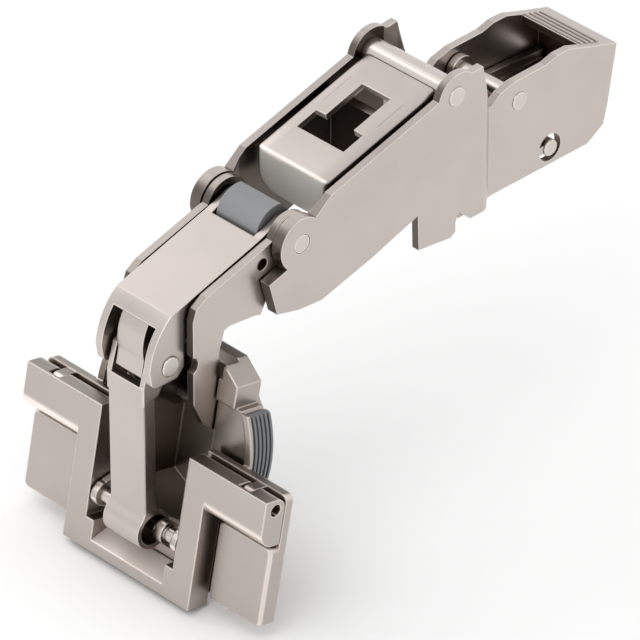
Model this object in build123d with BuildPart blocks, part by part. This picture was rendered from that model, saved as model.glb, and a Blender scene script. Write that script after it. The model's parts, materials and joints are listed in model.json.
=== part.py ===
from build123d import *
from math import cos, radians, sin
import os

# Concealed cup hinge, 35 mm cup, shown fully open. Millimetres.
# X runs along the hinge pins, Y runs along the arm towards its clip end, Z is up.
# The origin is on the underside of the arm's rear box, at its front end, on the mid plane.

# Sheet and fits
SHEET = 1.4
PLAY = 0.3
PIN_FIT = 0.05

# Distance past every edge of the part, for cuts that go right through
BEYOND = 100.0

# Arm: a wide front section that carries the links, and a narrow rear box that clips on
ARM_FRONT_HALF = 10.35
ARM_REAR_HALF = 7.85
ARM_STEP_START = 2.6
ARM_STEP_END = 7.4
ARM_NOSE_WALL = 2.1
ARM_NOSE_END = -35.0
BOX_END = 35.9
BOX_TOP = 20.0
BAND_FRONT = (28.6, 18.6)
BAND_REAR = (33.4, 17.2)
BAND_SHEET = 1.2
BAND_RIBS = 4
BAND_RIB_R = 0.38
BRIDGE_FRONT = -1.2
BRIDGE_REAR = 2.4

# Pins of the links, as (y, z)
ARM_PIN = (-37.3, 12.1)
ARM_PIN_R = 1.7
EAR_PIN = (-61.9, -1.35)
EAR_PIN_R = 1.2
EAR_PIN_HEAD_R = 1.75
CROSS_PIN = (-3.3, 24.4)
CROSS_PIN_R = 1.7
SLEEVE_R = 2.4
LEVER_PIN = (13.5, 15.2)
LEVER_PIN_R = 1.6
STUD = (20.7, 3.2)
STUD_R = 1.45
STUD_SHANK_R = 0.9
STUD_SLOT_R = 2.5

# Cover plate on the slope of the front section
COVER_SLOPE = 0.279
COVER_Z = 27.2
COVER_REAR = -5.75
COVER_FRONT = -30.5
COVER_TIP = (-32.1, 13.0)
COVER_CURL = 3.8
WINDOW_NARROW_HALF = 3.2
WINDOW_WIDE_HALF = 5.3
WINDOW_REAR = -11.0
WINDOW_STEP = -19.1
WINDOW_FRONT = -23.4
WINDOW_CORNER_R = 0.5
MARK_X = 5.6
MARK_LENGTH = 7.0
MARK_WIDTH = 0.25

# Crank link
CRANK_HALF = 8.0
CRANK_LOBE_R = 4.4
CRANK_HOLE = (-43.7, 10.1)
CRANK_HOLE_R = 1.05
LEG_FRONT = -58.6
LEG_REAR = -53.0

# Bush between the link walls
BUSH_R = 4.5
BUSH_FLAT = 3.6

# Channel link
CHANNEL_HALF = 6.2
CHANNEL_SLOPE = 0.291
CHANNEL_FRONT = -61.5
CHANNEL_FRONT_Z = 7.74
CHANNEL_REAR = -42.4
EYE_R = 3.0
EAR_FRONT = -66.2
EAR_REAR = -58.9
EAR_FOOT = -4.2
EAR_ROUND = 1.5
EAR_BULGE = (-64.7, 4.0)
EAR_BEND_FOOT = -0.8
STRAP_HALF = 2.9
STRAP_SHEET = 0.9
STRAP_WAIST = (-64.4, -0.8)
STRAP_FOOT = (-65.0, -3.7)
STRAP_BULGE = (-63.9, 4.3)
STRAP_HOLLOW = (-63.0, 3.9)

# Tongue
TONGUE_HALF = 4.0
TONGUE_FRONT = -65.9
TONGUE_TOP = -4.9
TONGUE_LUG_SHEET = 0.95
TONGUE_EYE_R = 3.45
TONGUE_EYE_BORE_R = 2.65
TONGUE_EYE_SHIFT = (-1.24, 0.05)
TONGUE_FLANGE = 2.6
TONGUE_EDGE = 0.6
COLLAR_R = 1.95

# Cup, in its own tilted frame: u into the door, v up the door, w along X
CUP_TILT = 11.4
CUP_CENTRE = (-55.8, -18.3)
CUP_R = 17.5
CUP_WALL = 1.0
CUP_DEPTH = 12.0
RING_DEPTH = 5.3
RING_EDGE = 0.9
RIM = 1.3
CUP_SEAT = 0.3
FACE_SINK = 0.6
CUP_STEP = 8.3
CUP_FLAT_HALF = 12.4
CUP_FLAT_TOP = 12.1
CUP_TOP_HALF = 8.6
CUP_TOP = 14.9
SLOPE_TOP = 13.1
SLOPE_FOOT = 1.0
WELL_TOP = 12.6
WELL_SIDE_WALL = 1.3
NOTCH_HALF = 9.0
NOTCH_FOOT = 12.0
NOTCH_DEPTH = 3.2
EYE_RELIEF = 1.5
AXLE = (-3.9, -15.5)
AXLE_R = 1.3
CRANK_PIN = (8.0, 1.0)
CRANK_PIN_R = 1.2
CRANK_EYE_R = 2.2
CUP_TURN = 98.6

# Base plate and its flap lever
WING_HALF = 27.5
WING_TOP = 0.3
WING_FOOT = -22.9
WING_CORNER = 1.2
PLATE = 1.5
PAD_INNER = 15.7
PAD_FRONT = -3.2
PAD_EDGE = 0.5
WINDOW_HALF = 9.8
WINDOW_FOOT = -19.6
CHEEK_SHEET = 1.2
CHEEK_R = 2.2
FLAP_FRONT = -6.0
FLAP_REAR = -1.7
FLAP_BAR_FOOT = -8.0
FLAP_BAR_ROUND = 2.8
FLAP_ARM_HALF = 14.5
FLAP_FOOT = -25.0
FLAP_AXIS = (-3.6, -1.6)
FLAP_EYE_R = 1.9
FLAP_PIN_R = 1.0
FLAP_PIN_INNER = 16.0
FLAP_PIN_SUNK = 2.0
EAR_X = 21.0
EAR_SHEET = 2.0
EAR_DEEP = 6.0
EAR_EYE_R = 1.7
EAR_FIT = 0.2

# Fixing jaws
JAW_TOP = 8.0
JAW_FOOT = -10.0
JAW_REAR = 5.2
JAW_FRONT = 0.9
JAW_WALL = 1.2
JAW_TRAVEL = 0.3
JAW_RIBS = 5
JAW_RIB_HEIGHT = 0.35

# Clip lever in the rear box
CLIP_HALF = 6.25
CLIP_FLOOR = 8.6
CLIP_SHEET = 1.3
CLIP_FRONT = 9.0
CLIP_REAR = 32.0
CLIP_TAIL_HALF = 3.0
CLIP_TAIL_Z = 6.0

side = Plane.YZ
tilt = radians(CUP_TILT)
cup_origin = Vector(0, *CUP_CENTRE)
into_door = Vector(0, cos(tilt), -sin(tilt))
cup_side = Plane(origin=cup_origin, x_dir=into_door, z_dir=(1, 0, 0))
door = Plane(origin=cup_origin, x_dir=(1, 0, 0), z_dir=-into_door)


def in_arm(u, v):
    """Place of a point of the tilted cup frame, as (y, z) of the arm."""
    place = cup_side.from_local_coords(Vector(u, v, 0))
    return (place.Y, place.Z)


def side_at(x):
    """Side plane at a distance from the mid plane."""
    return Plane.YZ.offset(x)


def cup_side_at(x):
    """Side plane of the cup frame at a distance from the mid plane."""
    return cup_side.offset(x)


def door_at(u):
    """Plane parallel to the door face, u millimetres into the door."""
    return door.offset(-u)


def save(piece, name):
    """Label a finished piece and write its STEP file."""
    piece.part.label = name
    export_step(piece.part, os.path.join("parts", name + ".step"))


def pin(name, place, radius, half, plane=side, head_r=0.0, head=0.4):
    """A pin along X through both walls, with low riveted heads where it has them."""
    with BuildPart() as rod:
        with BuildSketch(plane):
            with Locations(place):
                Circle(radius)
        extrude(amount=half, both=True)
        if head_r:
            for way in (1, -1):
                with BuildSketch(plane.offset(way * half)):
                    with Locations(place):
                        Circle(head_r)
                extrude(amount=way * head)
        ends = rod.faces().sort_by(Axis.X)
        chamfer(ends[0].edges() + ends[-1].edges(), 0.15)
    save(rod, name)
    return rod


os.makedirs("parts", exist_ok=True)

# Arm body: one folded sheet, its side outline first
with BuildPart() as arm_body:
    with BuildSketch(side) as arm_outline:
        with BuildLine():
            Polyline(
                (29.5, 0.0), (0.0, 0.0), (-2.4, 2.3), (-3.3, 0.9), (-3.3, -1.0), (-4.4, -1.7),
                (-11.6, -0.8), (-11.8, 5.8), (-21.8, 2.6), (-33.0, -0.3), (-37.9, 0.1), (-42.8, 1.4),
                (-44.4, 7.5), (-36.8, 9.8), (-34.8, 11.5), (-34.1, 13.4), (-34.3, 15.7),
            )
            Line((-34.3, 15.7), (-31.0, 18.3))
            Line((-31.0, 18.3), (-7.3, 24.9))
            ThreePointArc((-7.3, 24.9), (-3.6, 28.4), (0.2, 27.3))
            Line((0.2, 27.3), (2.5, 27.5))
            Line((2.5, 27.5), (4.5, 19.2))
            Polyline((4.5, 19.2), (6.9, 16.9), (9.0, 18.4), (12.3, 19.2), (19.4, 19.3), (22.0, BOX_TOP))
            Polyline((22.0, BOX_TOP), (25.0, BOX_TOP), (29.4, 18.5), (BOX_END, 16.5))
            Polyline((BOX_END, 16.5), (34.1, 5.8), (33.2, 2.2), (29.5, 0.0))
        make_face()
        with Locations(ARM_PIN):
            Circle(4.6)
    extrude(amount=ARM_FRONT_HALF, both=True)
    with BuildSketch(Plane.XY.offset(-10)) as arm_plan:
        with BuildLine():
            start = (ARM_FRONT_HALF, ARM_STEP_START)
            end = (ARM_REAR_HALF, ARM_STEP_END)
            Spline(start, end, tangents=((0, 1), (0, 1)))
            Polyline(end, (ARM_REAR_HALF, 50), (0, 50), (0, -60), (ARM_FRONT_HALF, -60), start)
        make_face()
        mirror(about=Plane.YZ)
    extrude(amount=60, mode=Mode.INTERSECT)
    inner_front = ARM_FRONT_HALF - SHEET
    inner_rear = ARM_REAR_HALF - SHEET
    inner_nose = ARM_FRONT_HALF - ARM_NOSE_WALL
    with BuildSketch(Plane.XY.offset(-10)) as arm_hollow:
        with BuildLine():
            start = (inner_front, ARM_STEP_START)
            end = (inner_rear, ARM_STEP_END)
            Spline(start, end, tangents=((0, 1), (0, 1)))
            Polyline(
                end, (inner_rear, BOX_END - 2.0 - SHEET), (0, BOX_END - 2.0 - SHEET), (0, -60),
                (inner_nose, -60), (inner_nose, ARM_NOSE_END), (inner_front, ARM_NOSE_END + 2.5), start,
            )
        make_face()
        mirror(about=Plane.YZ)
    extrude(amount=60, mode=Mode.SUBTRACT)
    # Rear band, folded over the box, and the web under the cover plate
    with BuildSketch(side) as rear_band:
        with BuildLine():
            Polyline(
                BAND_FRONT, BAND_REAR, (BAND_REAR[0] - 0.2, BAND_REAR[1] - BAND_SHEET),
                (BAND_FRONT[0] - 0.2, BAND_FRONT[1] - BAND_SHEET), BAND_FRONT,
            )
        make_face()
    extrude(amount=inner_rear, both=True)
    band_run = Vector(BAND_REAR[0] - BAND_FRONT[0], BAND_REAR[1] - BAND_FRONT[1])
    with BuildSketch(side) as band_ribs:
        for rib in range(BAND_RIBS):
            share = (rib + 0.5) / BAND_RIBS
            with Locations((BAND_FRONT[0] + band_run.X * share, BAND_FRONT[1] + band_run.Y * share)):
                Circle(BAND_RIB_R)
    extrude(amount=inner_rear, both=True)
    with BuildSketch(side) as cross_web:
        with BuildLine():
            Polyline((-12.3, 5.4), (-10.9, 5.8), (-10.9, 20.6), (-12.3, 20.3), (-12.3, 5.4))
        make_face()
    extrude(amount=inner_front, both=True)
    with BuildSketch(Plane.XZ.offset(10.9)) as web_point:
        with BuildLine():
            Polyline((-8.6, 6.0), (0.0, 2.0), (8.6, 6.0), (-8.6, 6.0))
        make_face()
    extrude(amount=SHEET)
    # Bridge under the front end of the box, which lies on the mounting plate
    with BuildSketch(side):
        with Locations(((BRIDGE_FRONT + BRIDGE_REAR) / 2, SHEET / 2)):
            Rectangle(BRIDGE_REAR - BRIDGE_FRONT, SHEET)
    extrude(amount=inner_front, both=True)
    # Bores for the pins, and the slot round each latch stud
    with BuildSketch(side):
        with Locations(ARM_PIN):
            Circle(ARM_PIN_R)
        with Locations(CROSS_PIN):
            Circle(CROSS_PIN_R)
        with Locations(LEVER_PIN):
            Circle(LEVER_PIN_R)
        with Locations(STUD):
            Circle(STUD_SHANK_R)
    extrude(amount=ARM_FRONT_HALF, both=True, mode=Mode.SUBTRACT)
    with BuildSketch(side):
        with Locations(STUD):
            Circle(STUD_SLOT_R)
            Circle(STUD_R, mode=Mode.SUBTRACT)
            with Locations((-STUD_SLOT_R, 0)):
                Rectangle(2 * STUD_R, STUD_R, mode=Mode.SUBTRACT)
    extrude(amount=ARM_FRONT_HALF, both=True, mode=Mode.SUBTRACT)
    # Slot in the rear end for the tail of the clip lever
    with BuildSketch(Plane.XZ.offset(-BOX_END - 1)):
        with Locations((0, CLIP_TAIL_Z + 1.6)):
            Rectangle(2 * CLIP_TAIL_HALF + 2 * PLAY, 6.4)
    extrude(amount=6, mode=Mode.SUBTRACT)
save(arm_body, "arm_body")

# Cover plate: slope, front curl and T-shaped window
with BuildPart() as arm_cover_plate:
    with BuildSketch(side):
        with BuildLine():
            rear_z = COVER_Z + COVER_SLOPE * COVER_REAR
            front_z = COVER_Z + COVER_SLOPE * (COVER_FRONT + COVER_CURL)
            curl_top = (COVER_FRONT + COVER_CURL, front_z)
            curl_foot = (COVER_TIP[0] + 0.4, front_z - COVER_CURL)
            under_top = (curl_top[0] + 0.3, front_z - SHEET + 0.1)
            under_foot = (curl_foot[0] + SHEET, curl_foot[1] - 0.2)
            Line((COVER_REAR, rear_z), curl_top)
            TangentArc(curl_top, curl_foot, tangent=(-1, -COVER_SLOPE))
            Line(curl_foot, COVER_TIP)
            Line(COVER_TIP, (COVER_TIP[0] + SHEET, COVER_TIP[1] - 0.3))
            Line((COVER_TIP[0] + SHEET, COVER_TIP[1] - 0.3), under_foot)
            Line(under_foot, under_top)
            Line(under_top, (COVER_REAR, rear_z - SHEET))
            Line((COVER_REAR, rear_z - SHEET), (COVER_REAR, rear_z))
        make_face()
    cover_half = ARM_FRONT_HALF - SHEET - 0.1
    extrude(amount=cover_half, both=True)
    with BuildSketch(Plane.XY.offset(30)) as cover_window:
        with Locations((0, (WINDOW_REAR + WINDOW_FRONT) / 2)):
            Rectangle(2 * WINDOW_NARROW_HALF, WINDOW_REAR - WINDOW_FRONT)
        with Locations((0, (WINDOW_STEP + WINDOW_FRONT) / 2)):
            Rectangle(2 * WINDOW_WIDE_HALF, WINDOW_STEP - WINDOW_FRONT)
        fillet(cover_window.vertices(), WINDOW_CORNER_R)
    extrude(amount=-14, mode=Mode.SUBTRACT)
    mark_mid = (WINDOW_REAR + WINDOW_STEP) / 2
    mark_plane = Plane(
        origin=(0, mark_mid, COVER_Z + COVER_SLOPE * mark_mid), x_dir=(1, 0, 0), z_dir=(0, -COVER_SLOPE, 1),
    )
    with BuildSketch(mark_plane):
        with Locations((MARK_X, 0), (-MARK_X, 0)):
            Rectangle(MARK_WIDTH, MARK_LENGTH)
    extrude(amount=-MARK_WIDTH, mode=Mode.SUBTRACT)
save(arm_cover_plate, "arm_cover_plate")

# Pins that the arm holds
arm_pin = pin("arm_pin", ARM_PIN, ARM_PIN_R, ARM_FRONT_HALF)
cross_pin = pin("cross_pin", CROSS_PIN, CROSS_PIN_R, ARM_FRONT_HALF + 0.2)
lever_pin = pin("lever_pin", LEVER_PIN, LEVER_PIN_R, ARM_REAR_HALF + 0.2)
latch_stud = pin("latch_stud", STUD, STUD_SHANK_R, ARM_REAR_HALF, head_r=STUD_R, head=0.35)

with BuildPart() as cross_sleeve:
    with BuildSketch(side):
        with Locations(CROSS_PIN):
            Circle(SLEEVE_R)
            Circle(CROSS_PIN_R, mode=Mode.SUBTRACT)
    extrude(amount=inner_front - 0.05, both=True)
save(cross_sleeve, "cross_sleeve")

# Crank link: two walls with a goose neck into the cup, joined by a web underneath
crank_eye = in_arm(*CRANK_PIN)
axle_place = in_arm(*AXLE)
axle_arm = Vector(0, *axle_place) - Vector(0, *crank_eye)
axle_closed = Vector(0, *crank_eye) + axle_arm.rotate(Axis.X, -CUP_TURN)
with BuildPart() as crank_link:
    with BuildSketch(side) as crank_outline:
        with BuildLine():
            Polyline(
                (-38.0, 16.3), (-41.4, 13.4), (-55.6, 9.4), (-57.9, 8.0), (LEG_FRONT, 6.0),
                (LEG_FRONT, -9.5), (-56.6, -14.0), (crank_eye[0] - 1.2, crank_eye[1] - 2.1),
            )
            Line((crank_eye[0] - 1.2, crank_eye[1] - 2.1), (crank_eye[0] + 1.4, crank_eye[1] + 1.9))
            Polyline(
                (crank_eye[0] + 1.4, crank_eye[1] + 1.9), (-51.6, -12.2), (LEG_REAR, -8.5), (LEG_REAR, -1.7),
                (-51.9, 1.6), (-50.8, 1.9), (-45.4, 1.3), (-44.1, 0.9), (-40.2, 8.2), (-38.0, 16.3),
            )
        make_face()
        with Locations(ARM_PIN):
            Circle(CRANK_LOBE_R)
        with Locations(crank_eye):
            Circle(CRANK_EYE_R)
        with Locations(ARM_PIN):
            Circle(ARM_PIN_R + PIN_FIT, mode=Mode.SUBTRACT)
        with Locations(crank_eye):
            Circle(CRANK_PIN_R + PIN_FIT, mode=Mode.SUBTRACT)
        with Locations(CRANK_HOLE):
            Circle(CRANK_HOLE_R, mode=Mode.SUBTRACT)
        with Locations((axle_closed.Y, axle_closed.Z)):
            Circle(AXLE_R + PLAY, mode=Mode.SUBTRACT)
    extrude(amount=CRANK_HALF, both=True)
    with BuildSketch(side):
        Rectangle(2 * BEYOND, 2 * BEYOND)
    extrude(amount=CRANK_HALF - SHEET, both=True, mode=Mode.SUBTRACT)
    with BuildSketch(side) as crank_web:
        with BuildLine():
            Polyline(
                (-44.6, 1.1), (-45.4, 1.3), (-50.8, 1.9), (-51.9, 1.6), (-53.0, -1.7), (-53.6, -1.2),
                (-52.8, 3.0), (-51.4, 3.4), (-45.6, 2.6), (-44.2, 2.4), (-44.6, 1.1),
            )
        make_face()
    extrude(amount=CRANK_HALF, both=True)
save(crank_link, "crank_link")

with BuildPart() as link_bush:
    with BuildSketch(side):
        with Locations(ARM_PIN):
            Circle(BUSH_R)
            Circle(ARM_PIN_R + PIN_FIT, mode=Mode.SUBTRACT)
        with Locations(Location((ARM_PIN[0], ARM_PIN[1], 0), (0, 0, 40))):
            with Locations((BUSH_FLAT + BUSH_R / 2, 0)):
                Rectangle(BUSH_R, 4 * BUSH_R, mode=Mode.SUBTRACT)
    extrude(amount=CHANNEL_HALF - SHEET - PLAY, both=True)
save(link_bush, "link_bush")

# Channel link: plate, two flanges with ears, and the strap in front of the tongue pin
def channel_top(y):
    """Height of the channel plate's top face."""
    return CHANNEL_FRONT_Z + CHANNEL_SLOPE * (y - CHANNEL_FRONT)


with BuildPart() as channel_link:
    with BuildSketch(side) as channel_outline:
        with BuildLine():
            plate_rear = (CHANNEL_REAR, channel_top(CHANNEL_REAR))
            ear_toe = (EAR_FRONT + 0.3, EAR_FOOT + EAR_ROUND)
            Line(plate_rear, (CHANNEL_FRONT, CHANNEL_FRONT_Z))
            ThreePointArc((CHANNEL_FRONT, CHANNEL_FRONT_Z), EAR_BULGE, (EAR_FRONT, EAR_BEND_FOOT))
            Line((EAR_FRONT, EAR_BEND_FOOT), ear_toe)
            RadiusArc(ear_toe, (ear_toe[0] + EAR_ROUND, EAR_FOOT), -EAR_ROUND)
            Polyline(
                (ear_toe[0] + EAR_ROUND, EAR_FOOT), (EAR_REAR - EAR_ROUND, EAR_FOOT),
                (EAR_REAR, EAR_FOOT + EAR_ROUND), (EAR_REAR, 1.5), (-56.8, 4.2), (-40.0, 9.4), (-36.0, 12.0),
                (-39.0, 14.6), plate_rear,
            )
        make_face()
        with Locations(ARM_PIN):
            Circle(EYE_R)
        with Locations(ARM_PIN):
            Circle(ARM_PIN_R + PIN_FIT, mode=Mode.SUBTRACT)
        with Locations(EAR_PIN):
            Circle(EAR_PIN_R, mode=Mode.SUBTRACT)
    extrude(amount=CHANNEL_HALF, both=True)
    with BuildSketch(side):
        with BuildLine():
            under = channel_top(CHANNEL_REAR) - SHEET
            front_under = CHANNEL_FRONT_Z - SHEET
            Polyline(
                (CHANNEL_REAR, BEYOND), (0, BEYOND), (0, -BEYOND), (-BEYOND, -BEYOND),
                (-BEYOND, front_under + CHANNEL_SLOPE * (-BEYOND - CHANNEL_FRONT)), (CHANNEL_REAR, under),
                (CHANNEL_REAR, BEYOND),
            )
        make_face()
    extrude(amount=CHANNEL_HALF - SHEET, both=True, mode=Mode.SUBTRACT)
    with BuildSketch(side) as strap_path:
        with BuildLine():
            strap_top = (CHANNEL_FRONT + 0.4, CHANNEL_FRONT_Z + 0.1)
            strap_under = (CHANNEL_FRONT + 0.9, CHANNEL_FRONT_Z - SHEET + 0.3)
            ThreePointArc(strap_top, STRAP_BULGE, STRAP_WAIST)
            Polyline(
                STRAP_WAIST, STRAP_FOOT, (STRAP_FOOT[0] + STRAP_SHEET, STRAP_FOOT[1]),
                (STRAP_WAIST[0] + STRAP_SHEET, STRAP_WAIST[1] - 0.1),
            )
            ThreePointArc((STRAP_WAIST[0] + STRAP_SHEET, STRAP_WAIST[1] - 0.1), STRAP_HOLLOW, strap_under)
            Line(strap_under, strap_top)
        make_face()
    extrude(amount=STRAP_HALF, both=True)
save(channel_link, "channel_link")

link_pin = pin("link_pin", EAR_PIN, EAR_PIN_R, CHANNEL_HALF, head_r=EAR_PIN_HEAD_R, head=0.35)

# Tongue: flat sheet with two lugs on the link pin and a rolled eye on the cup axle
eye_place = (axle_place[0] + TONGUE_EYE_SHIFT[0], axle_place[1] + TONGUE_EYE_SHIFT[1])
with BuildPart() as tongue:
    with BuildSketch(side):
        with BuildLine():
            Polyline(
                (TONGUE_FRONT, TONGUE_TOP), (TONGUE_FRONT, eye_place[1] + 3.0),
                (eye_place[0] - TONGUE_EYE_R + 0.3, eye_place[1] + 0.8), (eye_place[0], eye_place[1] + 3.2),
                (TONGUE_FRONT + SHEET, eye_place[1] + 4.4), (TONGUE_FRONT + SHEET, TONGUE_TOP),
                (TONGUE_FRONT, TONGUE_TOP),
            )
        make_face()
        with Locations(eye_place):
            Circle(TONGUE_EYE_R)
            Circle(TONGUE_EYE_BORE_R, mode=Mode.SUBTRACT)
    extrude(amount=TONGUE_HALF, both=True)
    front_edges = tongue.edges().filter_by(Axis.Z).group_by(Axis.Y)[0]
    fillet(front_edges, TONGUE_EDGE)
    for way in (1, -1):
        with BuildSketch(side_at(way * TONGUE_HALF)):
            with BuildLine():
                flange_front = TONGUE_FRONT + TONGUE_EDGE
                flange_rear = TONGUE_FRONT + TONGUE_FLANGE
                flange_foot = eye_place[1] + 3.3
                Polyline(
                    (flange_front, TONGUE_TOP), (flange_rear, TONGUE_TOP - 0.6), (flange_rear, flange_foot),
                    (flange_front, flange_foot), (flange_front, TONGUE_TOP),
                )
            make_face()
        extrude(amount=-way * TONGUE_LUG_SHEET)
    for way in (1, -1):
        with BuildSketch(side_at(way * (TONGUE_HALF + 0.2))):
            with BuildLine():
                Polyline(
                    (TONGUE_FRONT + 0.2, TONGUE_TOP), (TONGUE_FRONT + 0.2, TONGUE_TOP - 3.5),
                    (EAR_PIN[0] - 0.7, TONGUE_TOP - 2.6), (EAR_PIN[0] + 1.9, EAR_PIN[1] - 1.65),
                    (EAR_PIN[0] - 0.1, EAR_PIN[1] + 2.35), (EAR_PIN[0] - 2.4, EAR_PIN[1] + 1.15),
                    (TONGUE_FRONT + 0.2, TONGUE_TOP),
                )
            make_face()
            with Locations(EAR_PIN):
                Circle(2.3)
                Circle(EAR_PIN_R + PIN_FIT, mode=Mode.SUBTRACT)
        extrude(amount=-way * TONGUE_LUG_SHEET)
save(tongue, "tongue")

# Hollow of the cup, which takes the folded links
well_half = CRANK_HALF + PLAY
slope = Vector(CUP_DEPTH - RING_DEPTH, SLOPE_FOOT - SLOPE_TOP).normalized()
slope_in = Vector(slope.Y, -slope.X) * CUP_WALL
with BuildPart() as cup_well:
    with BuildSketch(cup_side) as well_outline:
        with BuildLine():
            floor_u = CUP_DEPTH - CUP_WALL
            slope_low = (CUP_DEPTH + slope_in.X, SLOPE_FOOT + slope_in.Y)
            slope_high = (RING_DEPTH + slope_in.X, SLOPE_TOP + slope_in.Y)
            Polyline(
                (-1.0, -CUP_R), (-1.0, WELL_TOP), (slope_high[0] - 0.4, WELL_TOP), slope_high, slope_low,
                (floor_u, SLOPE_FOOT - CUP_WALL), (floor_u, -CUP_R), (-1.0, -CUP_R),
            )
        make_face()
    extrude(amount=well_half, both=True)
    with BuildSketch(door_at(-1.0)):
        Circle(CUP_R - CUP_WALL)
    extrude(amount=-(CUP_DEPTH + 2.0), mode=Mode.INTERSECT)

# Cup: shallow ring with a stepped top, and a deep middle behind it that holds the crank pin
with BuildPart() as cup:
    with BuildSketch(door_at(0)) as ring_outline:
        with BuildLine():
            step_half = (CUP_R**2 - CUP_STEP**2) ** 0.5
            Polyline(
                (0, CUP_TOP), (CUP_TOP_HALF, CUP_TOP), (CUP_FLAT_HALF, CUP_FLAT_TOP),
                (CUP_FLAT_HALF, CUP_STEP), (step_half, CUP_STEP),
            )
            ThreePointArc((step_half, CUP_STEP), (CUP_R, 0), (0, -CUP_R))
            Line((0, -CUP_R), (0, CUP_TOP))
        make_face()
        mirror(about=Plane.YZ)
    extrude(amount=-RING_DEPTH)
    chamfer(cup.faces().sort_by(Axis.Y)[-1].edges().sort_by(Axis.Z)[-1], RING_EDGE)
    with BuildSketch(door_at(RING_DEPTH)):
        Circle(CUP_R)
        with Locations((0, (SLOPE_TOP - CUP_R) / 2)):
            Rectangle(2 * (well_half + WELL_SIDE_WALL), SLOPE_TOP + CUP_R, mode=Mode.INTERSECT)
    extrude(amount=-(CUP_DEPTH - RING_DEPTH))
    with BuildSketch(cup_side) as sloped_back:
        with BuildLine():
            Polyline(
                (RING_DEPTH, SLOPE_TOP), (CUP_DEPTH, SLOPE_FOOT), (CUP_DEPTH + 1, SLOPE_FOOT),
                (CUP_DEPTH + 1, CUP_R), (RING_DEPTH, CUP_R), (RING_DEPTH, SLOPE_TOP),
            )
        make_face()
    extrude(amount=CUP_R, both=True, mode=Mode.SUBTRACT)
    # Faces beside the well, sunk inside a thin rim
    with BuildSketch(door_at(0)):
        Circle(CUP_R - RIM)
        with Locations((0, (CUP_STEP - CUP_R) / 2)):
            Rectangle(2 * CUP_R, CUP_STEP + CUP_R, mode=Mode.INTERSECT)
    extrude(amount=-FACE_SINK, mode=Mode.SUBTRACT)
    add(cup_well.part, mode=Mode.SUBTRACT)
    # Rim raised under the base plate, where it seats in the recess of that plate's back
    with BuildSketch(door_at(0)):
        Circle(CUP_R)
        Circle(CUP_R - RIM, mode=Mode.SUBTRACT)
        with Locations((0, (WING_TOP - CUP_R) / 2)):
            Rectangle(2 * CUP_R, WING_TOP + CUP_R, mode=Mode.INTERSECT)
            Rectangle(2 * WINDOW_HALF, WING_TOP + CUP_R, mode=Mode.SUBTRACT)
    extrude(amount=CUP_SEAT)
    # Way in for the links at the top, and for the tongue's eye at the bottom
    with BuildSketch(door_at(0)):
        with Locations((0, NOTCH_FOOT + 5)):
            Rectangle(2 * NOTCH_HALF, 10)
    extrude(amount=-NOTCH_DEPTH, mode=Mode.SUBTRACT)
    with BuildSketch(door_at(0)):
        with Locations((0, -CUP_R)):
            Rectangle(2 * (TONGUE_HALF + 2 * PLAY), 5)
    extrude(amount=-EYE_RELIEF, mode=Mode.SUBTRACT)
    # Windows of the jaws, and the bore of the crank pin
    for way in (1, -1):
        with BuildSketch(door_at(JAW_FRONT - PLAY)):
            with Locations((way * CUP_R, (JAW_TOP + JAW_FOOT) / 2)):
                Rectangle(12, JAW_TOP - JAW_FOOT + 2 * PLAY)
            Circle(CUP_R - JAW_WALL - JAW_TRAVEL - 0.15, mode=Mode.SUBTRACT)
        extrude(amount=-CUP_DEPTH, mode=Mode.SUBTRACT)
    with BuildSketch(cup_side):
        with Locations(CRANK_PIN):
            Circle(CRANK_PIN_R)
    extrude(amount=CUP_R, both=True, mode=Mode.SUBTRACT)
save(cup, "cup")

crank_pin = pin("crank_pin", CRANK_PIN, CRANK_PIN_R, well_half + WELL_SIDE_WALL, plane=cup_side)

# Cup axle, with a collar each side of the tongue, inside the walls of the folded crank link
collar_start = TONGUE_HALF + 2 * PLAY
collar_end = CRANK_HALF - SHEET - PLAY
with BuildPart() as cup_axle:
    with BuildSketch(cup_side):
        with Locations(AXLE):
            Circle(AXLE_R)
    extrude(amount=WINDOW_HALF, both=True)
    for way in (1, -1):
        with BuildSketch(cup_side_at(way * collar_start)):
            with Locations(AXLE):
                Circle(COLLAR_R)
        extrude(amount=way * (collar_end - collar_start))
    collar_ends = cup_axle.faces().filter_by(Axis.X).sort_by(Axis.X)
    chamfer(collar_ends[0].edges() + collar_ends[-1].edges(), 0.15)
save(cup_axle, "cup_axle")

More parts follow.
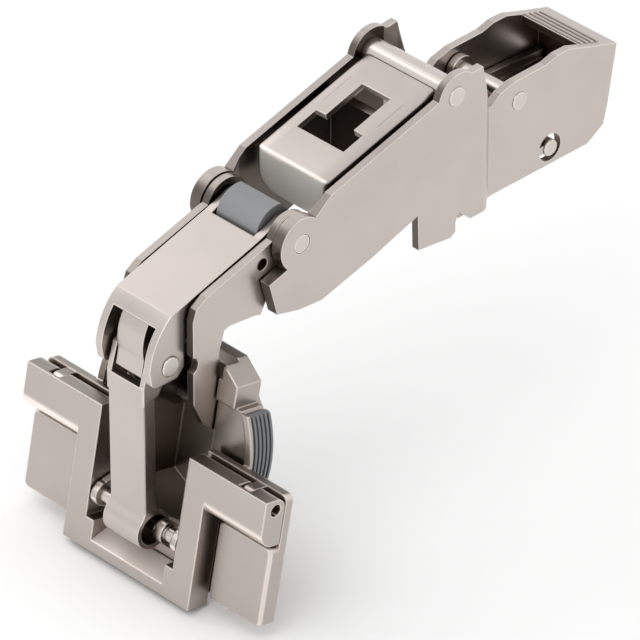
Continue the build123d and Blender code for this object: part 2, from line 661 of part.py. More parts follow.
# Base plate on the door face, with raised pads, cheeks for the axle and ears for the flap pins
with BuildPart() as base_plate:
    with BuildSketch(door_at(0)):
        with Locations((0, (WING_TOP + WING_FOOT) / 2)):
            RectangleRounded(2 * WING_HALF, WING_TOP - WING_FOOT, WING_CORNER)
        with Locations((0, (WINDOW_FOOT + WING_TOP) / 2 + 1)):
            Rectangle(2 * WINDOW_HALF, WING_TOP - WINDOW_FOOT + 2, mode=Mode.SUBTRACT)
    extrude(amount=PLATE)
    pad_top = FLAP_BAR_FOOT - 2 * PLAY
    pad_edge = PAD_FRONT + PAD_EDGE
    for foot, depth, slant in ((-PLATE, -PLATE - pad_edge, 0), (pad_edge, PAD_EDGE, 40)):
        with BuildSketch(door_at(foot)):
            for way in (1, -1):
                with Locations((way * (PAD_INNER + WING_HALF) / 2, (pad_top + WING_FOOT) / 2)):
                    RectangleRounded(WING_HALF - PAD_INNER, pad_top - WING_FOOT, WING_CORNER)
        extrude(amount=depth, taper=slant)
    for way in (1, -1):
        with BuildSketch(cup_side_at(way * WINDOW_HALF)):
            with BuildLine():
                Polyline(
                    (0, AXLE[1] + 3.4), (AXLE[0], AXLE[1] + CHEEK_R), (AXLE[0] - 0.5, AXLE[1]),
                    (AXLE[0], AXLE[1] - CHEEK_R), (0, AXLE[1] - 3.4), (0, AXLE[1] + 3.4),
                )
            make_face()
            with Locations(AXLE):
                Circle(CHEEK_R - 0.15)
                Circle(AXLE_R, mode=Mode.SUBTRACT)
        extrude(amount=-way * CHEEK_SHEET)
        with BuildSketch(cup_side_at(way * EAR_X)):
            with BuildLine():
                Polyline(
                    (-1, FLAP_AXIS[1] + EAR_EYE_R), (-1, -EAR_DEEP), (FLAP_AXIS[0], FLAP_AXIS[1] - EAR_EYE_R),
                    (FLAP_AXIS[0], FLAP_AXIS[1] + EAR_EYE_R), (-1, FLAP_AXIS[1] + EAR_EYE_R),
                )
            make_face()
            with Locations(FLAP_AXIS):
                Circle(EAR_EYE_R)
                Circle(FLAP_PIN_R, mode=Mode.SUBTRACT)
        extrude(amount=way * EAR_SHEET)
    # Recess in the back for the cup's rim, so that only the wings and the foot lie on the door
    with BuildSketch(door_at(0)):
        Circle(CUP_R + PLAY)
    extrude(amount=CUP_SEAT, mode=Mode.SUBTRACT)
save(base_plate, "base_plate")

# Flap lever: two wing bars, two arms and the finger bar, open at the top for the links
flap_inner = WINDOW_HALF + PLAY
with BuildPart() as flap_lever:
    for way in (1, -1):
        with BuildSketch(cup_side_at(way * flap_inner)):
            with BuildLine():
                bar_round = (FLAP_FRONT + FLAP_BAR_ROUND, FLAP_BAR_FOOT)
                Line((FLAP_REAR, WING_TOP), (FLAP_FRONT, WING_TOP))
                Line((FLAP_FRONT, WING_TOP), (FLAP_FRONT, FLAP_BAR_FOOT + FLAP_BAR_ROUND))
                RadiusArc((FLAP_FRONT, FLAP_BAR_FOOT + FLAP_BAR_ROUND), bar_round, -FLAP_BAR_ROUND)
                Polyline(bar_round, (FLAP_REAR, FLAP_BAR_FOOT), (FLAP_REAR, WING_TOP))
            make_face()
        extrude(amount=way * (WING_HALF - flap_inner))
    with BuildSketch(door_at(FLAP_REAR)):
        for way in (1, -1):
            with Locations((way * (flap_inner + FLAP_ARM_HALF) / 2, (WING_TOP + FLAP_FOOT) / 2)):
                Rectangle(FLAP_ARM_HALF - flap_inner, WING_TOP - FLAP_FOOT)
        with Locations((0, (WINDOW_FOOT + FLAP_FOOT) / 2)):
            Rectangle(2 * FLAP_ARM_HALF, WINDOW_FOOT - FLAP_FOOT)
    extrude(amount=FLAP_REAR - FLAP_FRONT)
    # Slots for the ears and bores for the pins
    for way in (1, -1):
        with BuildSketch(cup_side_at(way * (EAR_X - PLAY))):
            with Locations(FLAP_AXIS):
                Circle(EAR_EYE_R + EAR_FIT)
                Rectangle(2 * (EAR_EYE_R + EAR_FIT), EAR_DEEP, align=(Align.CENTER, Align.MIN))
            with Locations((FLAP_AXIS[0], WING_TOP)):
                Rectangle(FLAP_REAR - FLAP_FRONT, WING_TOP + EAR_DEEP + 1.0, align=(Align.MIN, Align.MAX))
        extrude(amount=way * (EAR_SHEET + 2 * PLAY), mode=Mode.SUBTRACT)
        with BuildSketch(cup_side_at(way * FLAP_PIN_INNER)):
            with Locations(FLAP_AXIS):
                Circle(FLAP_PIN_R + PIN_FIT)
        extrude(amount=way * 20, mode=Mode.SUBTRACT)
    # Rounded top rear edge, which turns on the base plate
    with BuildSketch(cup_side) as round_back:
        with Locations((FLAP_REAR, WING_TOP)):
            Rectangle(FLAP_EYE_R * 2, FLAP_EYE_R * 2)
        with Locations(FLAP_AXIS):
            Circle(FLAP_EYE_R, mode=Mode.SUBTRACT)
        with Locations((FLAP_AXIS[0] - 5, 0)):
            Rectangle(10, 10, mode=Mode.SUBTRACT)
    extrude(amount=WING_HALF + 1, both=True, mode=Mode.SUBTRACT)
    # Sloped finger recess in the bar
    with BuildSketch(cup_side):
        with BuildLine():
            Polyline(
                (FLAP_FRONT - 1, WINDOW_FOOT + 1), (FLAP_REAR + 1, WINDOW_FOOT + 1),
                (FLAP_REAR + 1, WINDOW_FOOT - 1.2), (FLAP_FRONT - 1, FLAP_FOOT + 1.4),
                (FLAP_FRONT - 1, WINDOW_FOOT + 1),
            )
        make_face()
    extrude(amount=CRANK_HALF + PLAY, both=True, mode=Mode.SUBTRACT)
save(flap_lever, "flap_lever")

for way, name in ((1, "flap_pin_right"), (-1, "flap_pin_left")):
    with BuildPart() as flap_pin:
        with BuildSketch(cup_side_at(way * FLAP_PIN_INNER)):
            with Locations(FLAP_AXIS):
                Circle(FLAP_PIN_R)
        extrude(amount=way * (WING_HALF - FLAP_PIN_INNER - FLAP_PIN_SUNK))
    save(flap_pin, name)

# Fixing jaws: ribbed arcs that bite into the bore of the door
for way, name in ((1, "jaw_right"), (-1, "jaw_left")):
    with BuildPart() as jaw:
        with BuildSketch(door_at(JAW_FRONT)):
            with Locations((way * CUP_R, (JAW_TOP + JAW_FOOT) / 2)):
                Rectangle(12, JAW_TOP - JAW_FOOT)
            Circle(CUP_R - JAW_RIB_HEIGHT, mode=Mode.INTERSECT)
            Circle(CUP_R - JAW_WALL, mode=Mode.SUBTRACT)
        extrude(amount=-(JAW_REAR - JAW_FRONT))
        pitch = (JAW_REAR - JAW_FRONT) / JAW_RIBS
        for rib in range(JAW_RIBS):
            with BuildSketch(door_at(JAW_FRONT + pitch * (rib + 0.25))):
                with Locations((way * CUP_R, (JAW_TOP + JAW_FOOT) / 2)):
                    Rectangle(12, JAW_TOP - JAW_FOOT)
                Circle(CUP_R, mode=Mode.INTERSECT)
                Circle(CUP_R - 2 * JAW_RIB_HEIGHT, mode=Mode.SUBTRACT)
            extrude(amount=-pitch / 2)
    save(jaw, name)

# Clip lever: tray inside the rear box, hung on the lever pin, with its tail at the rear end
with BuildPart() as clip_lever:
    with BuildSketch(side):
        with BuildLine():
            Polyline(
                (CLIP_FRONT, CLIP_FLOOR), (CLIP_REAR, CLIP_FLOOR), (CLIP_REAR, CLIP_FLOOR + CLIP_SHEET),
                (CLIP_FRONT, CLIP_FLOOR + CLIP_SHEET), (CLIP_FRONT, CLIP_FLOOR),
            )
        make_face()
    extrude(amount=CLIP_HALF, both=True)
    for way in (1, -1):
        with BuildSketch(side_at(way * CLIP_HALF)):
            with BuildLine():
                Polyline(
                    (CLIP_FRONT, CLIP_FLOOR), (CLIP_FRONT, 12.0), (LEVER_PIN[0] - 2.6, LEVER_PIN[1]),
                    (LEVER_PIN[0] + 2.6, LEVER_PIN[1]), (19.0, 12.0), (CLIP_REAR, 11.4),
                    (CLIP_REAR, CLIP_FLOOR), (CLIP_FRONT, CLIP_FLOOR),
                )
            make_face()
            with Locations(LEVER_PIN):
                Circle(2.6)
                Circle(LEVER_PIN_R + PIN_FIT, mode=Mode.SUBTRACT)
        extrude(amount=-way * CLIP_SHEET)
    with BuildSketch(side):
        with BuildLine():
            Polyline(
                (CLIP_REAR - 1.0, CLIP_FLOOR + 0.6), (CLIP_REAR + 0.3, CLIP_FLOOR + 0.3),
                (BOX_END + 0.6, CLIP_TAIL_Z + 0.6), (BOX_END + 0.3, CLIP_TAIL_Z - 0.6),
                (CLIP_REAR - 0.4, CLIP_FLOOR - 1.2), (CLIP_REAR - 2.0, CLIP_FLOOR),
                (CLIP_REAR - 1.0, CLIP_FLOOR + 0.6),
            )
        make_face()
    extrude(amount=CLIP_TAIL_HALF, both=True)
save(clip_lever, "clip_lever")
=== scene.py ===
import json
import math

import bmesh
import bpy
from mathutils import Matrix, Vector


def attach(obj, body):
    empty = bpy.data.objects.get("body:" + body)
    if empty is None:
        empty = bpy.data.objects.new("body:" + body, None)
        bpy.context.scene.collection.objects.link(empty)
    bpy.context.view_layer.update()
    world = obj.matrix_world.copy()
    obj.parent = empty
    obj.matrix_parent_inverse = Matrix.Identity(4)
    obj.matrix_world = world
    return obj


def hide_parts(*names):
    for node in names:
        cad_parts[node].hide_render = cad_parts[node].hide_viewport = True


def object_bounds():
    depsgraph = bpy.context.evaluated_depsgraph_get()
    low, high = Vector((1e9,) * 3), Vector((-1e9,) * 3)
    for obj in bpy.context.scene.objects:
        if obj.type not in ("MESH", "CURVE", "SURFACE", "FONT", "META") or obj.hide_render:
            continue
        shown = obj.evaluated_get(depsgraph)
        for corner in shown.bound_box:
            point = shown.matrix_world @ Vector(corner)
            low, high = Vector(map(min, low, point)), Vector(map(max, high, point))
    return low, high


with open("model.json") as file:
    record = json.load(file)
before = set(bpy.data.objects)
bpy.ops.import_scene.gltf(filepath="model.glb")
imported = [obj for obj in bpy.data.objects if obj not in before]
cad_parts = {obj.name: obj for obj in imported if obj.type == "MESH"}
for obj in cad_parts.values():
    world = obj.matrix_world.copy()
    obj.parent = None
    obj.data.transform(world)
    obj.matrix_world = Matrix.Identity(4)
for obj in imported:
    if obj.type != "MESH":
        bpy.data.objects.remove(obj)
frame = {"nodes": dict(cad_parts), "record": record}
cad_box = [list(corner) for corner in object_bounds()]

# View of the photograph: nearly orthographic, so the lens is very long. All lengths here are in metres,
# except the lens and its sensor, in millimetres. The clip limits are shares of the camera's distance.
AZIMUTH = math.radians(45.85)
ELEVATION = math.radians(33.8)
PHOTO_WIDTH = 0.1024
LENS = 400.0
SENSOR = 36.0
LOOK_AT = Vector((0.0, -0.0234, -0.0136))
CLIP_NEAR = 0.1
CLIP_FAR = 20

# Studio: each lamp's place, side and power, the surroundings and the floor
LAMPS = {
    "key": ((0.05, -0.45, 0.5), 0.45, 0.9),
    "left_fill": ((-0.5, -0.1, 0.35), 0.4, 0.6),
}
SKY_STRENGTH = 0.95
FLOOR_HALF = 3.0
FLOOR_GAP = 0.0005
FLOOR_WHITE = 0.93
FLOOR_ROUGHNESS = 0.9

# Colours, as linear values, and the painted light and shade that brighten or darken them
WHITE = (1.0, 1.0, 1.0)
NICKEL = (0.560, 0.503, 0.470)
NICKEL_CAST = (0.490, 0.442, 0.410)
NICKEL_DARK = (0.440, 0.400, 0.368)
PIN_NICKEL = (0.640, 0.590, 0.550)
BUSH_GREY = (0.230, 0.235, 0.245)
JAW_GREY = (0.170, 0.178, 0.188)
# Painted light on the cover's lip, and painted shade on top faces, front edges and inner faces
COVER_LIP_LIGHT = (0.78, 0.75, 0.70)
TOP_SHADE = (0.66, 0.66, 0.65)
CUT_SHADE = (0.26, 0.25, 0.235)
INSIDE_SHADE = (0.20, 0.185, 0.17)
SCORE_TONE = (0.72, 0.72, 0.72)
HOLLOW_SHADE = (0.36, 0.31, 0.27)
# Painted highlights on edges, casting lips and the lever's rounds, as gains on the colour
EDGE_HIGHLIGHT_GAIN = 1.75
LIP_HIGHLIGHT_GAIN = 1.5
ROUND_HIGHLIGHT_GAIN = 2.0
PLASTIC_EDGE_HIGHLIGHT_GAIN = 1.3
SATIN = 0.45

# Gloss of each finish
SHEET_ROUGHNESS = 0.30
CAST_ROUGHNESS = 0.34
CUP_ROUGHNESS = 0.32
PIN_ROUGHNESS = 0.22
BUSH_ROUGHNESS = 0.5
JAW_ROUGHNESS = 0.55
SMOOTHER = 0.03
ROUGHER = 0.04

# Mottling and grain: scale and detail of the noise, change of colour, and strength and height of the grain
PLATE_MOTTLE = (90.0, 4.0)
PLATE_GRAIN = (2600.0, 2.0)
PLATE_VARIES = 0.04
PLATE_HEIGHT = 0.00002
PLASTIC_MOTTLE = (140.0, 3.0)
PLASTIC_GRAIN = (3200.0, 2.0)
PLASTIC_VARIES = 0.07
PLASTIC_HEIGHT = 0.00003
SHEET_TEXTURE = 0.25
CAST_TEXTURE = 0.35
PIN_TEXTURE = 0.15
PLASTIC_TEXTURE = 0.2
EVEN = (1.0, 1.0, 1.0)
TURNED = (0.1, 1.0, 1.0)

# Rounding that each kind of edge shows, reach of the shade in hollows, and samples taken of both
SHEET_BEVEL = 0.00028
CAST_BEVEL = 0.00045
HOLLOW_REACH = 0.012
SHALLOW_REACH = 0.005
JAW_REACH = 0.0015
BEVEL_SAMPLES = 6
HOLLOW_SAMPLES = 8

# From where to where each change runs: of the noise, of the cosine between two directions, of how open a
# hollow is, and of a mask that is used whole
MOTTLE_SPAN = (0.3, 0.7)
EDGE_SPAN = (0.88, 0.992)
LIP_SPAN = (0.86, 0.985)
FLAT_SPAN = (0.985, 0.998)
FRONT_SPAN = (0.6, 0.75)
UNDER_SPAN = (0.06, 0.26)
WALL_SPAN = (0.25, 0.7)
CUT_SPAN = (0.1, 0.8)
BEND_SPAN = (0.93, 0.99)
COVER_LIP_SPAN = (0.94, 0.995)
HOLLOW_SPAN = (0.15, 0.8)
WHOLE_SPAN = (0.0, 1.0)

# Directions in the hinge's frame
ACROSS = (1.0, 0.0, 0.0)
TO_FRONT = (0.0, -1.0, 0.0)

# Directions of the tilted cup, and the way that the finger recess of its lever faces
CUP_TILT = math.radians(11.4)
INTO_DOOR = (0.0, math.cos(CUP_TILT), -math.sin(CUP_TILT))
UP_DOOR = (0.0, math.sin(CUP_TILT), math.cos(CUP_TILT))
OUT_OF_DOOR = tuple(-part for part in INTO_DOOR)
DOWN_DOOR = tuple(-part for part in UP_DOOR)
RECESS_SLOPE = math.radians(24.0)
RECESS_FACE = (0.0, -math.sin(RECESS_SLOPE - CUP_TILT), math.cos(RECESS_SLOPE - CUP_TILT))

# Inner faces of the arm's and the crank's walls, which get painted shade: least distance from the mid
# plane, and rear limit
INSIDE_LEAST = 0.002
INSIDE_REAR = -0.0005

# Sockets of the mix node that mixes colours
MIX_FACTOR = 0
MIX_FIRST = 6
MIX_SECOND = 7
MIX_RESULT = 2


def new_material(name):
    """A material with its node tree and its principled shader."""
    material = bpy.data.materials.new(name)
    material.use_nodes = True
    return material, material.node_tree, principled(material.node_tree)


def principled(tree):
    """The principled shader of a node tree."""
    return tree.nodes["Principled BSDF"]


def add_node(tree, kind, **values):
    """A shader node with its settings."""
    node = tree.nodes.new(kind)
    for key, value in values.items():
        setattr(node, key, value)
    return node


def noise(tree, scale, detail, stretch=EVEN):
    """Noise in object space, stretched along an axis where the surface has a grain."""
    place = add_node(tree, "ShaderNodeTexCoord")
    mapping = add_node(tree, "ShaderNodeMapping")
    mapping.inputs["Scale"].default_value = stretch
    texture = add_node(tree, "ShaderNodeTexNoise")
    texture.inputs["Scale"].default_value = scale
    texture.inputs["Detail"].default_value = detail
    tree.links.new(place.outputs["Object"], mapping.inputs["Vector"])
    tree.links.new(mapping.outputs["Vector"], texture.inputs["Vector"])
    return texture.outputs["Fac"]


def grey(level):
    """A grey as a colour."""
    return (level, level, level)


def scaled(colour, factor):
    """A colour made lighter or darker."""
    return tuple(min(1.0, c * factor) for c in colour)


def ramp(tree, value, low, high, span):
    """A colour that runs from one to another while a value crosses a span."""
    node = add_node(tree, "ShaderNodeValToRGB")
    for element, place, colour in zip(node.color_ramp.elements, span, (low, high)):
        element.position = place
        element.color = (*colour, 1.0)
    tree.links.new(value, node.inputs["Fac"])
    return node.outputs["Color"]


def mask_above(tree, value, span):
    """0 below a span and 1 above it."""
    return ramp(tree, value, grey(0.0), grey(1.0), span)


def mask_under(tree, value, span):
    """1 below a span and 0 above it."""
    return ramp(tree, value, grey(1.0), grey(0.0), span)


def blend_colour(tree, factor, first, second, kind="MIX"):
    """Mix of two colours; the factor and each colour may be a socket or a plain value."""
    mix = add_node(tree, "ShaderNodeMix", data_type="RGBA", blend_type=kind)
    for value, place in ((factor, MIX_FACTOR), (first, MIX_FIRST), (second, MIX_SECOND)):
        socket = mix.inputs[place]
        if hasattr(value, "is_linked"):
            tree.links.new(value, socket)
        else:
            socket.default_value = value if isinstance(value, float) else (*value, 1.0)
    return mix.outputs[MIX_RESULT]


def multiplied(tree, first, second):
    """Product of two colours or masks."""
    return blend_colour(tree, 1.0, first, second, "MULTIPLY")


def toned_where(tree, mask, colour_in, tone):
    """The colour, times a tone where a mask is 1."""
    return multiplied(tree, colour_in, blend_colour(tree, mask, WHITE, tone))


def combine(tree, operation, first, second):
    """Two values put together by a math node."""
    node = add_node(tree, "ShaderNodeMath", operation=operation)
    tree.links.new(first, node.inputs[0])
    tree.links.new(second, node.inputs[1])
    return node.outputs["Value"]


def near(tree, value, centre, reach):
    """1 where a value is within reach of a centre, and 0 elsewhere."""
    node = add_node(tree, "ShaderNodeMath", operation="COMPARE")
    tree.links.new(value, node.inputs[0])
    node.inputs[1].default_value = centre
    node.inputs[2].default_value = reach
    return node.outputs["Value"]


def below(tree, value, limit):
    """1 where a value is below a limit, and 0 elsewhere."""
    node = add_node(tree, "ShaderNodeMath", operation="LESS_THAN")
    tree.links.new(value, node.inputs[0])
    node.inputs[1].default_value = limit
    return node.outputs["Value"]


def place_of(tree):
    """The place on the piece: its distances across, along and up."""
    place = add_node(tree, "ShaderNodeTexCoord")
    split = add_node(tree, "ShaderNodeSeparateXYZ")
    tree.links.new(place.outputs["Object"], split.inputs[0])
    return split.outputs


def facing(tree, direction, both_ways=False):
    """How far the piece's own surface faces a direction of the hinge's frame."""
    place = add_node(tree, "ShaderNodeTexCoord")
    turn = add_node(tree, "ShaderNodeVectorMath", operation="DOT_PRODUCT")
    turn.inputs[1].default_value = direction
    tree.links.new(place.outputs["Normal"], turn.inputs[0])
    if not both_ways:
        return turn.outputs["Value"]
    size = add_node(tree, "ShaderNodeMath", operation="ABSOLUTE")
    tree.links.new(turn.outputs["Value"], size.inputs[0])
    return size.outputs["Value"]


def rounded_edges(tree, radius):
    """Normal rounded over the edges, and a mask that is 1 on an edge and 0 on a face."""
    bevel = add_node(tree, "ShaderNodeBevel", samples=BEVEL_SAMPLES)
    bevel.inputs["Radius"].default_value = radius
    face = add_node(tree, "ShaderNodeNewGeometry")
    turn = add_node(tree, "ShaderNodeVectorMath", operation="DOT_PRODUCT")
    tree.links.new(bevel.outputs["Normal"], turn.inputs[0])
    tree.links.new(face.outputs["Normal"], turn.inputs[1])
    return bevel.outputs["Normal"], mask_under(tree, turn.outputs["Value"], EDGE_SPAN)


def hollow_shade(tree, colour_in, reach):
    """The colour, darker and warmer where the surface lies deep between others."""
    shade = add_node(tree, "ShaderNodeAmbientOcclusion", samples=HOLLOW_SAMPLES)
    shade.inputs["Distance"].default_value = reach
    return multiplied(tree, colour_in, ramp(tree, shade.outputs["AO"], HOLLOW_SHADE, WHITE, HOLLOW_SPAN))


def grain_bump(tree, heights, normal, strength, height):
    """Fine grain on top of the rounded normal, given to the shader."""
    bump = add_node(tree, "ShaderNodeBump")
    bump.inputs["Strength"].default_value = strength
    bump.inputs["Distance"].default_value = height
    tree.links.new(heights, bump.inputs["Height"])
    tree.links.new(normal, bump.inputs["Normal"])
    tree.links.new(bump.outputs["Normal"], principled(tree).inputs["Normal"])


def painted_lip_highlights(tree, colour_in, colour):
    """The colour, with a painted highlight on the rounded lips of a casting."""
    squareness = facing(tree, ACROSS, both_ways=True)
    for direction in (INTO_DOOR, UP_DOOR):
        squareness = combine(tree, "MAXIMUM", squareness, facing(tree, direction, both_ways=True))
    lip = mask_under(tree, squareness, LIP_SPAN)
    return blend_colour(tree, lip, colour_in, scaled(colour, LIP_HIGHLIGHT_GAIN))


def satin_where(tree, mask):
    """Makes the metal scatter light, as blasted nickel does, where a mask is 1."""
    share = ramp(tree, mask, WHITE, grey(SATIN), WHOLE_SPAN)
    tree.links.new(share, principled(tree).inputs["Metallic"])


def lever_highlights_and_shade(tree, colour_in, colour):
    """The colour, with painted highlights on the bars' rounded foot and in the finger recess, and painted
    shade on top faces.
    """
    bright = scaled(colour, ROUND_HIGHLIGHT_GAIN)
    front = mask_above(tree, facing(tree, OUT_OF_DOOR), FRONT_SPAN)
    under = mask_above(tree, facing(tree, DOWN_DOOR), UNDER_SPAN)
    band = multiplied(tree, front, under)
    recess = mask_above(tree, facing(tree, RECESS_FACE), FLAT_SPAN)
    satin_where(tree, recess)
    top = ramp(tree, facing(tree, UP_DOOR), WHITE, TOP_SHADE, FLAT_SPAN)
    toned = blend_colour(tree, band, multiplied(tree, colour_in, top), bright)
    return blend_colour(tree, recess, toned, bright)


def painted_inside_shade(tree, colour_in):
    """The colour, with painted shade on the inner faces of a folded sheet's walls, which look at the mid
    plane.
    """
    across, along, _ = place_of(tree)
    outward = combine(tree, "MULTIPLY", across, facing(tree, ACROSS))
    inner = below(tree, outward, -INSIDE_LEAST)
    inside = combine(tree, "MULTIPLY", inner, below(tree, along, INSIDE_REAR))
    return toned_where(tree, inside, colour_in, INSIDE_SHADE)


def painted_cut_shade(tree, colour_in):
    """The colour, with painted shade on the front edges of a sheet wall."""
    edge = mask_under(tree, facing(tree, ACROSS, both_ways=True), WALL_SPAN)
    front = mask_above(tree, facing(tree, TO_FRONT), CUT_SPAN)
    return toned_where(tree, multiplied(tree, edge, front), colour_in, CUT_SHADE)


def metal(name, colour, roughness, bevel, grain=SHEET_TEXTURE, stretch=EVEN, reach=HOLLOW_REACH,
          finish="plain"):
    """Satin nickel plate: fine mottling in colour, gloss and height, with a painted highlight on its edges
    and painted shade in its hollows.
    """
    material, tree, shader = new_material(name)
    shader.inputs["Metallic"].default_value = 1.0
    broad = noise(tree, *PLATE_MOTTLE, stretch)
    fine = noise(tree, *PLATE_GRAIN, stretch)
    plate = ramp(
        tree, broad, scaled(colour, 1 - PLATE_VARIES), scaled(colour, 1 + PLATE_VARIES), MOTTLE_SPAN,
    )
    normal, edge = rounded_edges(tree, bevel)
    # Painted highlights on a casting's rounded lips
    if finish == "cast":
        plate = painted_lip_highlights(tree, plate, colour)
    # Painted highlight: the colour is made brighter on the edges
    edge_highlit = blend_colour(tree, edge, plate, scaled(colour, EDGE_HIGHLIGHT_GAIN))
    # Painted shade on a wall's front edges and on its inner faces
    if finish == "wall":
        edge_highlit = painted_inside_shade(tree, painted_cut_shade(tree, edge_highlit))
    shaded = hollow_shade(tree, edge_highlit, reach)
    # Painted highlights on the lever's rounded foot and finger recess, and painted shade on its top faces
    if finish == "cast":
        shaded = lever_highlights_and_shade(tree, shaded, colour)
    tree.links.new(shaded, shader.inputs["Base Color"])
    rough = ramp(tree, broad, grey(roughness - SMOOTHER), grey(roughness + ROUGHER), MOTTLE_SPAN)
    tree.links.new(rough, shader.inputs["Roughness"])
    grain_bump(tree, fine, normal, grain, PLATE_HEIGHT)
    return material


def plastic(name, colour, roughness, reach=HOLLOW_REACH):
    """Moulded plastic with a faint texture."""
    material, tree, shader = new_material(name)
    broad = noise(tree, *PLASTIC_MOTTLE)
    fine = noise(tree, *PLASTIC_GRAIN)
    skin = ramp(
        tree, broad, scaled(colour, 1 - PLASTIC_VARIES), scaled(colour, 1 + PLASTIC_VARIES), MOTTLE_SPAN,
    )
    normal, edge = rounded_edges(tree, SHEET_BEVEL)
    # Painted highlight on the edges, and painted shade in hollows below
    highlit_skin = blend_colour(tree, edge, skin, scaled(colour, PLASTIC_EDGE_HIGHLIGHT_GAIN))
    tree.links.new(hollow_shade(tree, highlit_skin, reach), shader.inputs["Base Color"])
    shader.inputs["Roughness"].default_value = roughness
    grain_bump(tree, fine, normal, PLASTIC_TEXTURE, PLASTIC_HEIGHT)
    return material


# Finish of each material slot, and of the folded walls, which get painted shade on their front edges and
# their insides
SLOTS = {
    "nickel_sheet": metal("nickel_sheet", NICKEL, SHEET_ROUGHNESS, SHEET_BEVEL),
    "nickel_cast": metal(
        "nickel_cast", NICKEL_CAST, CAST_ROUGHNESS, CAST_BEVEL, CAST_TEXTURE,
        reach=SHALLOW_REACH, finish="cast",
    ),
    "nickel_cup": metal("nickel_cup", NICKEL_DARK, CUP_ROUGHNESS, CAST_BEVEL, CAST_TEXTURE),
    "pin_steel": metal("pin_steel", PIN_NICKEL, PIN_ROUGHNESS, SHEET_BEVEL, PIN_TEXTURE, TURNED),
    "bush_plastic": plastic("bush_plastic", BUSH_GREY, BUSH_ROUGHNESS),
    "jaw_plastic": plastic("jaw_plastic", JAW_GREY, JAW_ROUGHNESS, JAW_REACH),
}
WALL_METAL = metal(
    "nickel_wall", NICKEL, SHEET_ROUGHNESS, SHEET_BEVEL, reach=SHALLOW_REACH, finish="wall",
)
WALLS = ("arm_body", "crank_link")


def dress_nodes():
    """Gives each node of the frame its finish."""
    for part in frame["record"]["subparts"]:
        node = frame["nodes"][part["node"]]
        finish = WALL_METAL if part["node"] in WALLS else SLOTS[part["material_slot"]]
        node.data.materials.clear()
        node.data.materials.append(finish)


# Cover plate: a pressed sheet with folded sides, a tight front bend and a lip with round corners
COVER_SLOPE = 0.279
COVER_HEIGHT = 0.0272
COVER_REAR = -0.00575
COVER_BEND = -0.0300
COVER_BEND_R = 0.0009
COVER_LIP_FOOT = 0.0116
COVER_LIP_ROUND = 0.0032
COVER_HALF = 0.0079
COVER_SIDE_R = 0.0009
COVER_SIDE_DROP = 0.0022
COVER_SHEET = 0.0011
COVER_EDGE = 0.00016
COVER_EDGE_SEGMENTS = 2
COVER_EDGE_LEAST = math.radians(50)

# T window of the cover: its rear end, its step and its front end, and the halves of its stem and bar
WINDOW_ROWS = (-0.0110, -0.0191, -0.0234)
WINDOW_HALVES = (0.0032, 0.0053)
STEM_ROW = 1
BAR_ROW = 2

# Score lines beside the window
SCORE_X = 0.0059
SCORE_MIDDLE = -0.0138
SCORE_LENGTH = 0.0060
SCORE_WIDTH = 0.00018

# Facets of the cover's curves
BEND_STEPS = 6
LIP_ROWS = 10
SIDE_STEPS = 4


def cover_path():
    """Places along the cover's outer face, from its rear edge to its lip, each with its inward normal."""
    slope = math.atan(COVER_SLOPE)
    down = Vector((0.0, math.sin(slope), -math.cos(slope)))
    path = []
    for y in (COVER_REAR, *WINDOW_ROWS, COVER_BEND + COVER_BEND_R):
        path.append((Vector((0.0, y, COVER_HEIGHT + COVER_SLOPE * y)), down))
    centre = path[-1][0] + down * COVER_BEND_R
    for step in range(1, BEND_STEPS + 1):
        angle = slope + (math.pi / 2 - slope) * step / BEND_STEPS
        inward = Vector((0.0, math.sin(angle), -math.cos(angle)))
        path.append((centre - inward * COVER_BEND_R, inward))
    front = path[-1][0]
    for row in range(1, LIP_ROWS + 1):
        z = front.z + (COVER_LIP_FOOT - front.z) * row / LIP_ROWS
        path.append((Vector((0.0, front.y, z)), -Vector(TO_FRONT)))
    return path


def cover_share_at(z):
    """Share of the cover's half width at a height, less towards the round corners of its lip."""
    above = max(0.0, z - COVER_LIP_FOOT)
    if above >= COVER_LIP_ROUND:
        return 1.0
    short = COVER_LIP_ROUND - math.sqrt(COVER_LIP_ROUND ** 2 - (COVER_LIP_ROUND - above) ** 2)
    return 1.0 - short / COVER_HALF


def cover_columns():
    """Across the cover: each column's distance from the mid plane and its drop."""
    side = [(COVER_HALF, COVER_SIDE_DROP)]
    for step in range(SIDE_STEPS + 1):
        angle = math.pi / 2 * step / SIDE_STEPS
        side.append((
            COVER_HALF - COVER_SIDE_R * (1 - math.cos(angle)),
            COVER_SIDE_R * (1 - math.sin(angle)),
        ))
    side += [(half, 0.0) for half in reversed(WINDOW_HALVES)]
    return [(-x, drop) for x, drop in side] + [(x, drop) for x, drop in reversed(side)]


def cover_mesh():
    """The cover's outer face as a mesh, open at its T window."""
    mesh = bpy.data.meshes.new("cover_plate")
    shape = bmesh.new()
    columns = cover_columns()
    stem_half, bar_half = WINDOW_HALVES
    grid = []
    for centre, inward in cover_path():
        share = cover_share_at(centre.z)
        grid.append([
            shape.verts.new(centre + Vector((x * share, 0.0, 0.0)) + inward * drop) for x, drop in columns
        ])
    for row, (upper, lower) in enumerate(zip(grid, grid[1:])):
        for column in range(len(columns) - 1):
            middle = abs(columns[column][0] + columns[column + 1][0]) / 2
            in_stem = row == STEM_ROW and middle < stem_half
            in_bar = row == BAR_ROW and middle < bar_half
            if not (in_stem or in_bar):
                shape.faces.new((upper[column], upper[column + 1], lower[column + 1], lower[column]))
    bmesh.ops.recalc_face_normals(shape, faces=shape.faces)
    shape.faces.ensure_lookup_table()
    if shape.faces[len(columns) // 2].normal.z < 0:
        bmesh.ops.reverse_faces(shape, faces=shape.faces)
    for face in shape.faces:
        face.smooth = True
    shape.to_mesh(mesh)
    shape.free()
    return mesh


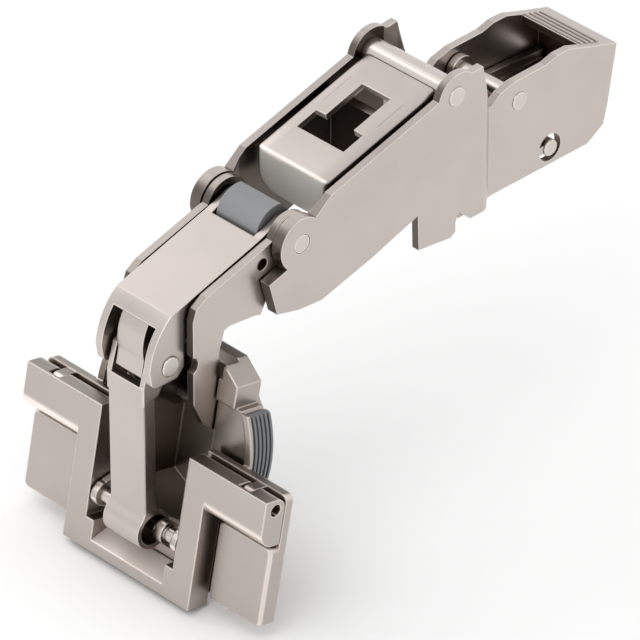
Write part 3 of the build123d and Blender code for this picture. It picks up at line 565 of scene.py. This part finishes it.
def cover_metal():
    """Sheet metal with a painted highlight on its front bend, a lip painted paler in place of light, and
    two faint score lines by the window.
    """
    material = metal("cover_metal", NICKEL, SHEET_ROUGHNESS, SHEET_BEVEL, reach=SHALLOW_REACH)
    tree = material.node_tree
    base = principled(tree).inputs["Base Color"]
    colour = base.links[0].from_socket
    # Painted highlight on the front bend
    turn = math.atan(COVER_SLOPE) / 2 + math.pi / 4
    bend = mask_above(tree, facing(tree, (0.0, -math.sin(turn), math.cos(turn))), BEND_SPAN)
    colour = blend_colour(tree, bend, colour, scaled(NICKEL, EDGE_HIGHLIGHT_GAIN))
    # Painted light: the lip's colour is made paler where it faces the front
    lip = mask_above(tree, facing(tree, TO_FRONT), COVER_LIP_SPAN)
    colour = blend_colour(tree, lip, colour, COVER_LIP_LIGHT)
    satin_where(tree, lip)
    across, along, _ = place_of(tree)
    left = near(tree, across, -SCORE_X, SCORE_WIDTH / 2)
    right = near(tree, across, SCORE_X, SCORE_WIDTH / 2)
    length = near(tree, along, SCORE_MIDDLE, SCORE_LENGTH / 2)
    score = combine(tree, "MULTIPLY", length, combine(tree, "ADD", left, right))
    tree.links.new(toned_where(tree, score, colour, SCORE_TONE), base)
    return material


def make_cover():
    """The cover plate as a folded sheet with a T window, in place of the plain solid."""
    mesh = cover_mesh()
    mesh.materials.append(cover_metal())
    cover = bpy.data.objects.new("cover_plate", mesh)
    bpy.context.collection.objects.link(cover)
    sheet = cover.modifiers.new("sheet", "SOLIDIFY")
    sheet.thickness = COVER_SHEET
    sheet.offset = -1.0
    edges = cover.modifiers.new("edges", "BEVEL")
    edges.width = COVER_EDGE
    edges.segments = COVER_EDGE_SEGMENTS
    edges.limit_method = "ANGLE"
    edges.angle_limit = COVER_EDGE_LEAST
    edges.harden_normals = True
    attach(cover, "arm")
    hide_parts("arm_cover_plate")


def look_along(thing, direction):
    """Turns a lamp or camera, which looks down its own -Z, along a direction."""
    thing.rotation_mode = "QUATERNION"
    thing.rotation_quaternion = direction.to_track_quat("-Z", "Y")


def make_camera():
    """The camera at the photograph's viewing angle and width."""
    back = Vector((
        math.sin(AZIMUTH) * math.cos(ELEVATION),
        -math.cos(AZIMUTH) * math.cos(ELEVATION),
        math.sin(ELEVATION),
    ))
    distance = PHOTO_WIDTH * LENS / SENSOR
    data = bpy.data.cameras.new("camera")
    data.lens = LENS
    data.sensor_width = SENSOR
    data.clip_start = distance * CLIP_NEAR
    data.clip_end = distance * CLIP_FAR
    camera = bpy.data.objects.new("camera", data)
    camera.location = LOOK_AT + back * distance
    look_along(camera, -back)
    bpy.context.collection.objects.link(camera)
    bpy.context.scene.camera = camera


def make_lamp(name, place, side, power):
    """A soft square lamp aimed at the hinge."""
    lamp = bpy.data.lights.new(name, "AREA")
    lamp.size = side
    lamp.energy = power
    holder = bpy.data.objects.new(name, lamp)
    holder.location = place
    look_along(holder, LOOK_AT - Vector(place))
    bpy.context.collection.objects.link(holder)


def make_world():
    """Pale surroundings at a plain level."""
    world = bpy.data.worlds.new("studio")
    world.use_nodes = True
    background = world.node_tree.nodes["Background"]
    background.inputs["Color"].default_value = (*WHITE, 1.0)
    background.inputs["Strength"].default_value = SKY_STRENGTH
    bpy.context.scene.world = world


def make_floor():
    """A pale floor just under the hinge's lowest point."""
    low = min(corner[2] for corner in cad_box)
    mesh = bpy.data.meshes.new("floor")
    shape = bmesh.new()
    bmesh.ops.create_grid(shape, x_segments=1, y_segments=1, size=FLOOR_HALF)
    shape.to_mesh(mesh)
    shape.free()
    for vertex in mesh.vertices:
        vertex.co.z = low - FLOOR_GAP
    material, _, shader = new_material("floor_paint")
    shader.inputs["Base Color"].default_value = (*grey(FLOOR_WHITE), 1.0)
    shader.inputs["Roughness"].default_value = FLOOR_ROUGHNESS
    mesh.materials.append(material)
    floor = bpy.data.objects.new("floor", mesh)
    bpy.context.collection.objects.link(floor)


dress_nodes()
make_camera()
make_cover()
make_world()
make_floor()
for name, (place, side, power) in LAMPS.items():
    make_lamp(name, place, side, power)
bpy.context.scene.view_settings.view_transform = "Standard"
